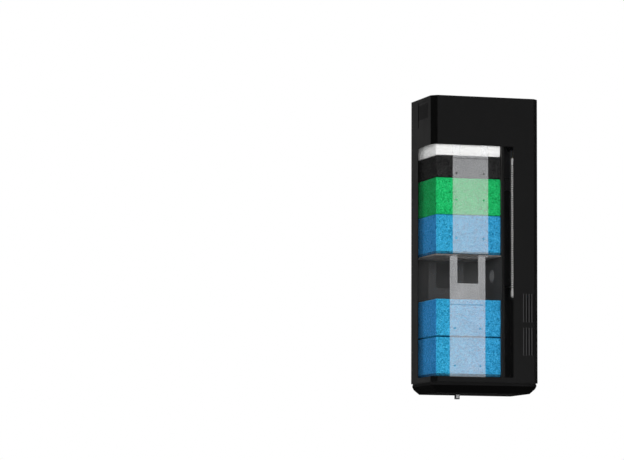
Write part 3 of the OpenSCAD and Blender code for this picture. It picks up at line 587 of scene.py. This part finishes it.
# node: (material, bevel width in mm or 0)
LOOKS = {
    "casing_shell": ("casing", 0.35), "partition": ("partition", 0.3), "base_cap": ("cap", 0.4),
    "base_gasket": ("rubber", 0.2), "media_window": ("clear", 0.12), "heater_window": ("clear", 0.12),
    "mounting_pads": ("silicone", 0.5), "suction_duct": ("duct", 0.5), "port_strainer": ("strainer", 0.15),
    "heater_bracket": ("duct", 0.3), "volute": ("pump", 0.4), "volute_seal": ("rubber", 0.0),
    "motor_housing": ("pump", 0.4), "motor_cap": ("pump", 0.4), "stator_core": ("steel", 0.3),
    "stator_coil": ("copper", 1.2), "impeller_shaft": ("ceramic", 0.2), "shaft_bushes": ("rubber", 0.2),
    "rotor_magnet": ("magnet", 0.4), "impeller_wheel": ("impeller", 0.2), "pump_feet": ("rubber", 0.3),
    "pump_gland": ("rubber", 0.2), "riser_pipe": ("duct", 0.0), "wall_grommet": ("rubber", 0.3),
    "nozzle_washer": ("strainer", 0.2), "outlet_nozzle": ("casing", 0.0),
    "heater_tube": ("heater_glass", 0.0), "heater_core": ("ceramic", 0.3), "heater_thermostat": ("brass", 0.15),
    "heater_head": ("pump", 0.3), "heater_seal": ("rubber", 0.0), "heater_gland": ("rubber", 0.0),
    "heater_dial": ("dial", 0.2),
    "lower_basket_floor": ("grid", 0.12), "lower_basket_front_band": ("band", 0.3),
    "lower_basket_rear_band": ("band_rear_shaded", 0.3),
    "upper_basket_floor": ("grid", 0.12), "upper_basket_front_band": ("band_upper", 0.3),
    "upper_basket_rear_band": ("band_rear_shaded", 0.3),
    "drain_spigot": ("drain", 0.15), "drain_knob": ("knob", 0.25), "drain_seal": ("rubber", 0.0),
}

for name, (look, width) in LOOKS.items():
    o = NODES[name]
    o.data.materials.clear()
    o.data.materials.append(M[look])
    if width:
        weld = o.modifiers.new("weld", "WELD")
        weld.merge_threshold = 2e-6
        flat = o.modifiers.new("flat", "DECIMATE")
        flat.decimate_type = "DISSOLVE"
        flat.angle_limit = math.radians(0.4)
        bev = o.modifiers.new("edge", "BEVEL")
        bev.width = width / 1000.0
        bev.segments = 2
        bev.limit_method = "ANGLE"
        bev.angle_limit = math.radians(32)
        bev.use_clamp_overlap = True
        wn = o.modifiers.new("normals", "WEIGHTED_NORMAL")
        wn.keep_sharp = False
        wn.weight = 60

for name in ("media_window", "heater_window", "heater_tube", "lower_basket_front_band", "lower_basket_rear_band",
             "upper_basket_front_band", "upper_basket_rear_band"):
    NODES[name].visible_shadow = False

# ------------------------------------------------------------------ soft media


def hashed(cells, seed, salt):
    """A number from 0 to 1 for each whole-numbered cell, the same on every run."""
    c = cells.astype(np.int64)
    h = (c[:, 0] * 73856093) ^ (c[:, 1] * 19349663) ^ (c[:, 2] * 83492791) ^ (seed * 2654435761 + salt * 40503)
    h = h & 0xFFFFFFFF
    h = ((h ^ (h >> 16)) * 0x45D9F3B) & 0xFFFFFFFF
    h = ((h ^ (h >> 16)) * 0x45D9F3B) & 0xFFFFFFFF
    return ((h ^ (h >> 16)) & 0xFFFFFF) / float(0x1000000)


def cells_at(p, size, seed, squash=(1.0, 1.0, 1.0)):
    """Worley cells: the distances to the nearest and second nearest cell centre, in cells, and the nearest's own number."""
    q = p / (size * np.asarray(squash))
    base = np.floor(q).astype(np.int64)
    f1 = np.full(len(p), 9.0)
    f2 = np.full(len(p), 9.0)
    own = np.zeros(len(p))
    for dx in (-1, 0, 1):
        for dy in (-1, 0, 1):
            for dz in (-1, 0, 1):
                c = base + (dx, dy, dz)
                centre = c + 0.1 + 0.8 * np.stack([hashed(c, seed, s) for s in (1, 2, 3)], 1)
                d = np.linalg.norm(centre - q, axis=1)
                near = d < f1
                f2 = np.where(near, f1, np.minimum(f2, d))
                own = np.where(near, hashed(c, seed, 4), own)
                f1 = np.where(near, d, f1)
    return f1, f2, own


def smooth_noise(p, size, seed):
    """Value noise from -1 to 1."""
    q = p / size
    base = np.floor(q).astype(np.int64)
    f = q - base
    f = f * f * (3 - 2 * f)
    total = np.zeros(len(p))
    for dx in (0, 1):
        for dy in (0, 1):
            for dz in (0, 1):
                w = (f[:, 0] if dx else 1 - f[:, 0]) * (f[:, 1] if dy else 1 - f[:, 1]) * (f[:, 2] if dz else 1 - f[:, 2])
                total += w * hashed(base + (dx, dy, dz), seed, 7)
    return total * 2 - 1


def smoothstep(x, a, b):
    x = np.clip((x - a) / (b - a), 0, 1)
    return x * x * (3 - 2 * x)


def lattice(n):
    """The surface of an n[0] by n[1] by n[2] block: its whole-numbered points and outward-facing quads."""
    points, quads, count = [], [], 0
    for axis in range(3):
        u, v = [a for a in range(3) if a != axis]
        for side in (0, 1):
            uu, vv = np.meshgrid(np.arange(n[u] + 1), np.arange(n[v] + 1), indexing="ij")
            p = np.zeros(uu.shape + (3,), np.int64)
            p[..., u], p[..., v], p[..., axis] = uu, vv, side * n[axis]
            i = np.arange(uu.size).reshape(uu.shape) + count
            q = np.stack([i[:-1, :-1], i[1:, :-1], i[1:, 1:], i[:-1, 1:]], -1).reshape(-1, 4)
            if (side == 0) != (axis == 1):
                q = q[:, ::-1]
            points.append(p.reshape(-1, 3))
            quads.append(q)
            count += uu.size
    points, quads = np.concatenate(points), np.concatenate(quads)
    key = (points[:, 0] * 100003 + points[:, 1]) * 100003 + points[:, 2]
    _, first, back = np.unique(key, return_index=True, return_inverse=True)
    return points[first], back.reshape(-1)[quads]


def block(lo, hi, step, radius):
    """A closed block with rounded edges: its points, their outward directions and its quads, in millimetres."""
    lo, hi = np.asarray(lo, float), np.asarray(hi, float)
    n = np.maximum(3, np.round((hi - lo) / step).astype(int))
    grid, quads = lattice(n)
    p = lo + grid / n * (hi - lo)
    core = np.clip(p, lo + radius, hi - radius)
    d = p - core
    away = d / np.maximum(np.linalg.norm(d, axis=1, keepdims=True), 1e-9)
    return core + away * radius, away, quads


def mesh_object(name, points_mm, faces, material, attributes=None, smooth=True):
    me = bpy.data.meshes.new(name)
    me.from_pydata(S(points_mm).tolist(), [], faces.tolist() if hasattr(faces, "tolist") else faces)
    me.polygons.foreach_set("use_smooth", [smooth] * len(me.polygons))
    for k, values in (attributes or {}).items():
        me.attributes.new(k, "FLOAT", "POINT").data.foreach_set("value", np.asarray(values, np.float32))
    me.materials.append(material)
    me.update()
    o = bpy.data.objects.new(name, me)
    scene.collection.objects.link(o)
    return o


def node_box(name):
    lo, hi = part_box(name)
    return np.array(lo) * 1000 - OFF, np.array(hi) * 1000 - OFF


def sponge(name, body, material, pore, depth, seed, step=0.75, radius=1.4, bulge=0.25, wave=0.3, rims=(0.0, 0.0)):
    """An open-cell sponge: cut block with rounded, slightly crushed edges, whose cells are pits between thin webs.
    rims gives how much painted shade its lower and upper edges get where sponges meet; a value below 0 gives a painted
    highlight instead."""
    lo, hi = node_box(name)
    p, away, quads = block(lo, hi, step, radius)
    f1, f2, own = cells_at(p, pore, seed)
    web = f2 - f1
    small1, small2, small_own = cells_at(p + 17.3, pore * 0.52, seed + 5)
    pit = smoothstep(web, 0.07, 0.5) * (0.35 + 0.65 * own)
    fine = smoothstep(small2 - small1, 0.06, 0.5)
    # the webs stand at the block's own faces and the pits go in from them
    mid, half = (lo + hi) / 2, (hi - lo) / 2
    u = (p - mid) / half
    crown = (1 - u[:, 2] ** 2) * bulge * (np.abs(away[:, 2]) < 0.5)
    sag = smooth_noise(p, 21, seed + 1) * wave + smooth_noise(p, 7, seed + 2) * wave * 0.4
    edge = 1 - np.abs(away).max(1)
    crumble = smoothstep(edge, 0.04, 0.3) * (0.25 + 0.35 * smooth_noise(p, 4.5, seed + 3))
    h = crown + np.minimum(sag, 0.12) - pit * depth - fine * depth * 0.3 - crumble
    p = p + away * h[:, None]
    # painted shade at the joins between stacked sponges, painted highlight where the value is below 0
    near = np.clip(1 - (p[:, 2] - lo[2]) / 1.5, 0, 1) * rims[0] + np.clip(1 - (hi[2] - p[:, 2]) / 1.5, 0, 1) * rims[1]
    # painted shade: the third attribute marks the side faces and the stretch towards the right end for darkening
    o = mesh_object(name + "_foam", p, quads, material,
                    {"pit": np.clip(pit * 0.8 + fine * 0.25 + near, 0, 1), "cell": own * 0.7 + small_own * 0.3,
                     "side_shade": np.maximum(smoothstep(np.abs(away[:, 0]), 0.5, 0.9), 0.36 * smoothstep(u[:, 0], -0.6, 1.0))})
    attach(o, body)
    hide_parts(name)
    return o


sponge("fine_sponge_bottom", "lower_basket", M["blue_fine"], 2.2, 0.7, 11, rims=(0.0, 0.9))
sponge("fine_sponge_top", "lower_basket", M["blue_fine"], 2.2, 0.7, 23, rims=(0.9, -0.5))
sponge("coarse_sponge", "upper_basket", M["blue_coarse"], 2.8, 0.75, 37, rims=(0.0, 0.2))
sponge("nitrate_sponge", "upper_basket", M["green"], 2.8, 0.75, 41)
sponge("carbon_sponge", "upper_basket", M["carbon"], 2.6, 0.9, 53)


def floss_pad():
    """The white floss pad: layered felt with a soft, uneven top, and loose threads lying on its faces."""
    lo, hi = node_box("floss_pad")
    p, away, quads = block(lo, hi, 0.8, 1.5)
    lay = smooth_noise(p * (0.12, 0.12, 1.0), 1.5, 61)
    fuzz = smooth_noise(p * (0.5, 0.5, 1.0), 1.7, 62)
    soft = smooth_noise(p, 17, 63)
    side = np.abs(away[:, 2]) < 0.5
    mid, half = (lo + hi) / 2, (hi - lo) / 2
    u = (p - mid) / half
    h = np.where(side, (1 - u[:, 2] ** 2) * 0.35 + lay * 0.35 + fuzz * 0.15 - 0.3, soft * 0.7 + fuzz * 0.2 - 0.6)
    p = p + away * h[:, None]
    # 'pit' marks the hollows of the layering, which the felt material paints darker as shade
    o = mesh_object("floss_pad_felt", p, quads, M["floss"], {"pit": np.clip(0.35 - lay * 0.5 - fuzz * 0.2, 0, 1)})
    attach(o, "floss")
    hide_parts("floss_pad")
    # loose threads: thin three-sided strands, bedded in the faces
    rng = np.random.default_rng(7)
    verts, faces = [], []
    for _ in range(1500):
        face = rng.choice(5, p=(0.26, 0.2, 0.2, 0.14, 0.2))
        c = lo + rng.random(3) * (hi - lo)
        if face < 4:
            axis, at = ((1, lo[1]), (0, lo[0]), (1, hi[1]), (0, hi[0]))[face]
            sign = -1 if face in (0, 1) else 1
        else:
            axis, at, sign = 2, hi[2] - 0.6, 1
        span = [a for a in range(3) if a != axis]
        angle = rng.normal(0, 0.3) if axis != 2 else rng.random() * math.tau
        length = rng.uniform(3, 11)
        bend = rng.normal(0, 1.1)
        n = 7
        s = np.linspace(-0.5, 0.5, n)
        line = np.zeros((n, 3))
        line[:, span[0]] = s * length * math.cos(angle) + bend * math.sin(angle) * (s * s * 4 - 1) * -1
        line[:, span[1]] = s * length * math.sin(angle) + bend * math.cos(angle) * (s * s * 4 - 1)
        lift = (1 - (2 * s) ** 2) * rng.uniform(0.05, 0.42)
        c[axis] = at + sign * 0.02
        line = line + c
        line[:, axis] += sign * (lift - 0.12)
        inside = np.clip(line, lo + (1.6, 1.6, 0.6), hi - (1.6, 1.6, 0.4))
        for a in span:
            line[:, a] = inside[:, a]
        r = rng.uniform(0.045, 0.085)
        e1, e2 = np.zeros(3), np.zeros(3)
        e1[axis] = 1
        along = line[-1] - line[0]
        along /= max(np.linalg.norm(along), 1e-6)
        e2 = np.cross(along, e1)
        base = len(verts)
        for i, c0 in enumerate(line):
            taper = r * (0.35 if i in (0, n - 1) else 1.0)
            for k in range(3):
                a = k * math.tau / 3
                verts.append(c0 + taper * (math.cos(a) * e1 + math.sin(a) * e2))
        for i in range(n - 1):
            for k in range(3):
                a, b = base + i * 3 + k, base + i * 3 + (k + 1) % 3
                faces.append((a, b, b + 3, a + 3))
        faces.append((base + 2, base + 1, base))
        faces.append((base + n * 3 - 3, base + n * 3 - 2, base + n * 3 - 1))
    t = mesh_object("floss_pad_threads", np.array(verts), faces, M["threads"])
    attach(t, "floss")
    return o, t


floss_pad()

# ------------------------------------------------------------------ heater coil


def heater_coil():
    """The heater's resistance ribbon: a close flat helix on the ceramic core, whose two ends run in through the core's
    wall to its bore."""
    x0, y0, pitch, r = 141.0, 22.0, 3.26, 9.27
    z0, z1 = 156.5, 342.0
    thick, width, sides = 0.3, 0.44, 10
    turns = (z1 - z0) / pitch
    n = int(turns * 26)
    a = np.linspace(0, turns * math.tau, n)
    z = np.linspace(z0, z1, n) + 0.10 * np.sin(a * 0.37) + 0.06 * np.sin(a * 0.11 + 1)
    dive = smoothstep(np.minimum(a, a[-1] - a), 0.0, 0.5)
    r = r - 1.4 * (1 - dive)
    out = np.stack([np.cos(a), np.sin(a), np.zeros(n)], 1)
    line = np.stack([x0 + r * out[:, 0], y0 + r * out[:, 1], z], 1)
    rise = np.array((0.0, 0.0, 1.0))
    ring = [(math.cos(k * math.tau / sides), math.sin(k * math.tau / sides)) for k in range(sides)]
    v = np.stack([line + out * thick * c + rise * width * s for c, s in ring], 1).reshape(-1, 3)
    f = []
    for i in range(n - 1):
        for k in range(sides):
            p, q = i * sides + k, i * sides + (k + 1) % sides
            f.append((p, q, q + sides, p + sides))
    f.append(tuple(range(sides - 1, -1, -1)))
    f.append(tuple(range((n - 1) * sides, n * sides)))
    o = mesh_object("heater_coil", v, f, M["wire"])
    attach(o, "heater")
    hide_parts("heater_winding")
    return o


heater_coil()

# ------------------------------------------------------------------ stage and light


def plane(name, size, z, material):
    me = bpy.data.meshes.new(name)
    h = size / 2
    me.from_pydata([(-h, -h, z), (h, -h, z), (h, h, z), (-h, h, z)], [], [(0, 1, 2, 3)])
    me.materials.append(material)
    o = bpy.data.objects.new(name, me)
    scene.collection.objects.link(o)
    return o


def floor_material():
    """Pale matt floor, open from below so that the object can be looked at from there. It thins out to the studio's
    white well inside the lamps."""
    t = Tree("pale_floor")
    n = t.noise(600, 3.0)
    p = t.shader(t.mix(t.ranged(n, 0.3, 0.7, 0.0, 1.0), (0.80, 0.80, 0.795), (0.84, 0.84, 0.835)), 0.9,
                 Specular_IOR_Level=0.1)
    geo = t.node("ShaderNodeNewGeometry")
    hole = t.node("ShaderNodeBsdfTransparent")
    sep = t.node("ShaderNodeSeparateXYZ")
    t.link(t.obj(), sep.inputs[0])
    x, y, _ = sep.outputs
    out = t.math("SQRT", t.math("ADD", t.math("MULTIPLY", x, x), t.math("MULTIPLY", y, y)))
    mixed = t.node("ShaderNodeMixShader")
    t.link(t.math("MAXIMUM", geo.outputs["Backfacing"], t.ranged(out, 1.2, 2.7, 0.0, 1.0, smooth=True)), mixed.inputs[0])
    t.link(p.outputs[0], mixed.inputs[1])
    t.link(hole.outputs[0], mixed.inputs[2])
    t.link(mixed.outputs[0], t.out.inputs["Surface"])
    return t.mat


plane("floor", 5.6, -0.52, floor_material())

world = bpy.data.worlds.new("studio")
scene.world = world
world.use_nodes = True
wt = world.node_tree
wt.nodes.clear()
wout = wt.nodes.new("ShaderNodeOutputWorld")
seen = wt.nodes.new("ShaderNodeBackground")
seen.inputs[0].default_value = (1.0, 1.0, 1.0, 1.0)
seen.inputs[1].default_value = 1.0
lit = wt.nodes.new("ShaderNodeBackground")
lit.inputs[0].default_value = (0.97, 0.985, 1.0, 1.0)
lit.inputs[1].default_value = 0.12
path = wt.nodes.new("ShaderNodeLightPath")
both = wt.nodes.new("ShaderNodeMixShader")
dim = wt.nodes.new("ShaderNodeBackground")
dim.inputs[0].default_value = (1.0, 1.0, 1.0, 1.0)
dim.inputs[1].default_value = 0.06
sky = wt.nodes.new("ShaderNodeTexCoord")
height = wt.nodes.new("ShaderNodeSeparateXYZ")
above = wt.nodes.new("ShaderNodeMapRange")
wt.links.new(sky.outputs["Generated"], height.inputs[0])
wt.links.new(height.outputs[2], above.inputs["Value"])
for k, v in zip(("From Min", "From Max", "To Min", "To Max"), (-0.1, 0.05, 0.0, 0.06)):
    above.inputs[k].default_value = v
wt.links.new(above.outputs[0], dim.inputs[1])
soft = wt.nodes.new("ShaderNodeMixShader")
wt.links.new(path.outputs["Is Glossy Ray"], soft.inputs[0])
wt.links.new(lit.outputs[0], soft.inputs[1])
wt.links.new(dim.outputs[0], soft.inputs[2])
wt.links.new(path.outputs["Is Camera Ray"], both.inputs[0])
wt.links.new(soft.outputs[0], both.inputs[1])
wt.links.new(seen.outputs[0], both.inputs[2])
wt.links.new(both.outputs[0], wout.inputs["Surface"])


def softbox(name, at, target, size, power, glossy=True):
    d = bpy.data.lights.new(name, "AREA")
    d.shape = "RECTANGLE"
    d.size, d.size_y = size
    d.energy = power
    o = bpy.data.objects.new(name, d)
    scene.collection.objects.link(o)
    o.location = at
    o.rotation_euler = (Vector(target) - Vector(at)).to_track_quat("-Z", "Y").to_euler()
    o.visible_camera = False
    o.visible_glossy = glossy
    return o


softbox("key", (-1.3, -3.4, 0.25), (-0.08, 0, 0), (1.7, 1.7), 103, glossy=False)
softbox("sheen", (1.1, -3.4, 0.5), (-0.08, 0, 0), (1.8, 1.8), 4)
softbox("back_key", (1.9, 3.0, 0.9), (-0.08, 0, 0), (1.8, 1.8), 95)
softbox("back_fill", (-2.7, 1.7, 0.3), (-0.08, 0, 0), (1.6, 1.6), 15, glossy=False)
softbox("back_sheen", (-1.2, 3.4, 0.5), (-0.1, 0, 0), (1.4, 1.4), 1.6)
softbox("top", (0.0, 0.3, 2.8), (-0.08, 0, 0), (2.2, 2.2), 34)
